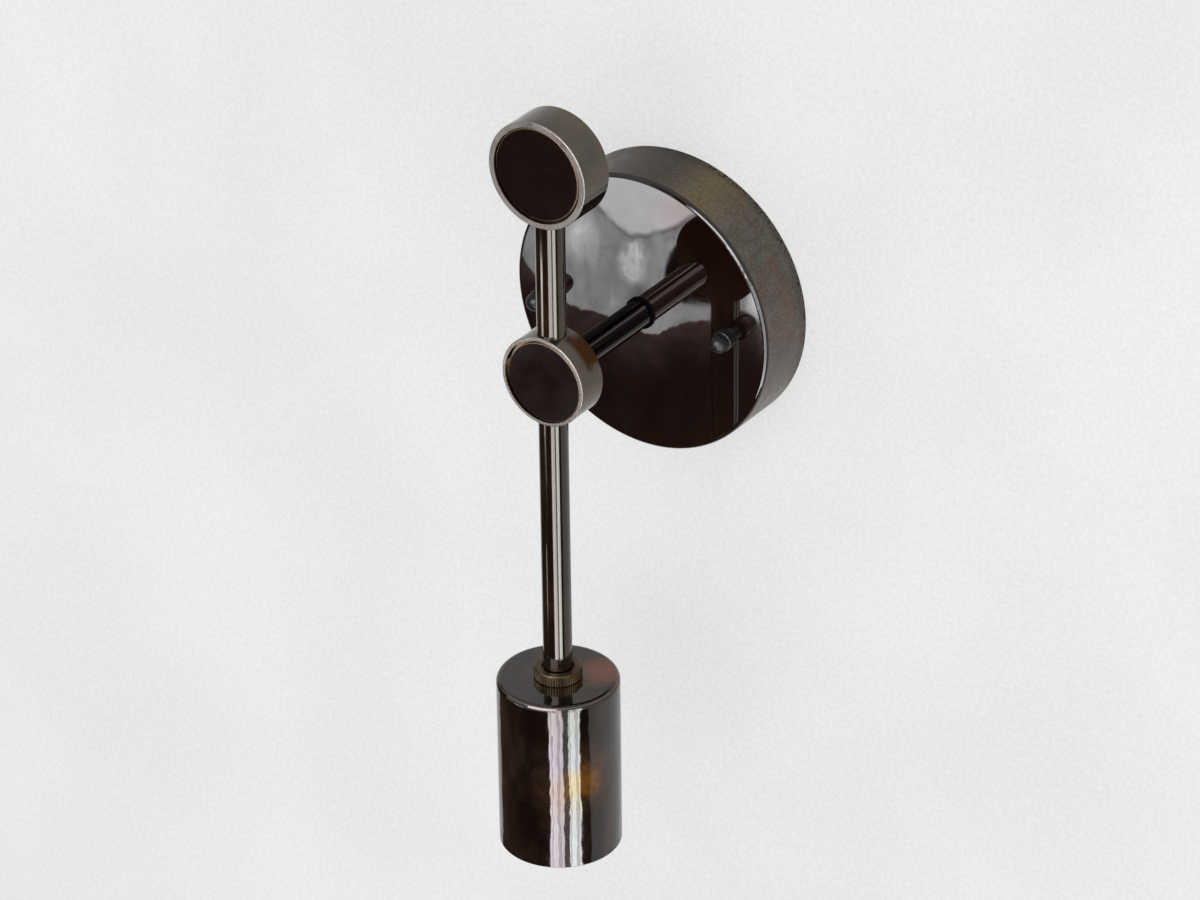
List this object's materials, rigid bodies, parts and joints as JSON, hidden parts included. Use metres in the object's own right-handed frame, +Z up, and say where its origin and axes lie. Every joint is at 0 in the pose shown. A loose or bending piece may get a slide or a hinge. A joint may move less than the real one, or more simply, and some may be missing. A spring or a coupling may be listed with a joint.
{
  "type": "wall sconce",
  "caption": "Wall sconce with a round canopy, a swivelling arm, rods between drum hubs and a cylinder lamp cup that opens downwards.",
  "frame": {"origin": "centre of the canopy's rim on the wall, on the axis of the arm and of the box-screw circle", "axes": "+Y into the wall, so the sconce stands out along -Y; +Z up along the rods; +X to the right, seen from the room"},
  "size_m": [0.127, 0.1205, 0.3472],
  "materials": {
    "canopy_bronze": "dark bronze, mirror-glossy front, satin side",
    "arm_bronze": "near-black bronze, polished",
    "rod_bronze": "polished dark bronze",
    "cup_bronze": "polished dark bronze with brown mottling",
    "hub_metal": "worn gunmetal, bright at the rims",
    "disc_bronze": "dark bronze with a bright copper edge",
    "dark_nut": "near-black, glossy",
    "dark_washer": "near-black, glossy",
    "ring_bronze": "dark olive, knurled",
    "zinc_steel": "zinc plated",
    "green_screw": "green",
    "holder_metal": "satin",
    "holder_plastic": "matte black",
    "shell_brass": "plain"
  },
  "bodies": {
    "wall_plate": {"canopy": "canopy_bronze", "crossbar": "zinc_steel", "canopy_studs": "zinc_steel", "stud_jam_nuts": "zinc_steel", "ground_screw": "green_screw", "base_washer": "dark_washer", "friction_washer": "zinc_steel"},
    "arm": {"arm_tube": "arm_bronze", "arm_nipple": "zinc_steel", "arm_locknut": "zinc_steel", "hub_arm_nipple": "zinc_steel", "lower_hub": "hub_metal", "lower_hub_disc": "disc_bronze", "upper_rod_nipple": "zinc_steel", "upper_rod": "rod_bronze", "top_hub_nipple": "zinc_steel", "top_hub": "hub_metal", "top_hub_disc": "disc_bronze", "lower_rod_nipple": "zinc_steel", "lower_rod": "rod_bronze", "socket_nipple": "zinc_steel", "socket_cup": "cup_bronze", "holder_cap": "holder_metal", "holder_body": "holder_plastic", "screw_shell": "shell_brass", "centre_contact": "shell_brass", "terminal_plates": "shell_brass", "terminal_screws": "shell_brass"},
    "left_cap_nut": {"cap_nut_left": "dark_nut"},
    "right_cap_nut": {"cap_nut_right": "dark_nut"},
    "knurled_ring": {"knurled_ring": "ring_bronze"}
  },
  "joints": [
    {"name": "arm_swivel", "type": "hinge", "parent": "wall_plate", "child": "arm", "pos_m": [0, 0, 0], "axis": [0, 1, 0], "range_deg": [-90, 90]},
    {"name": "right_cap_nut_turn", "type": "hinge", "parent": "wall_plate", "child": "right_cap_nut", "pos_m": [0.04681, -0.03, 0.00418], "axis": [0, 1, 0], "continuous": true},
    {"name": "left_cap_nut_turn", "type": "hinge", "parent": "wall_plate", "child": "left_cap_nut", "pos_m": [-0.04681, -0.03, -0.00418], "axis": [0, 1, 0], "continuous": true},
    {"name": "ring_turn", "type": "hinge", "parent": "arm", "child": "knurled_ring", "pos_m": [0, -0.094, -0.144], "axis": [0, 0, 1], "continuous": true}
  ]
}
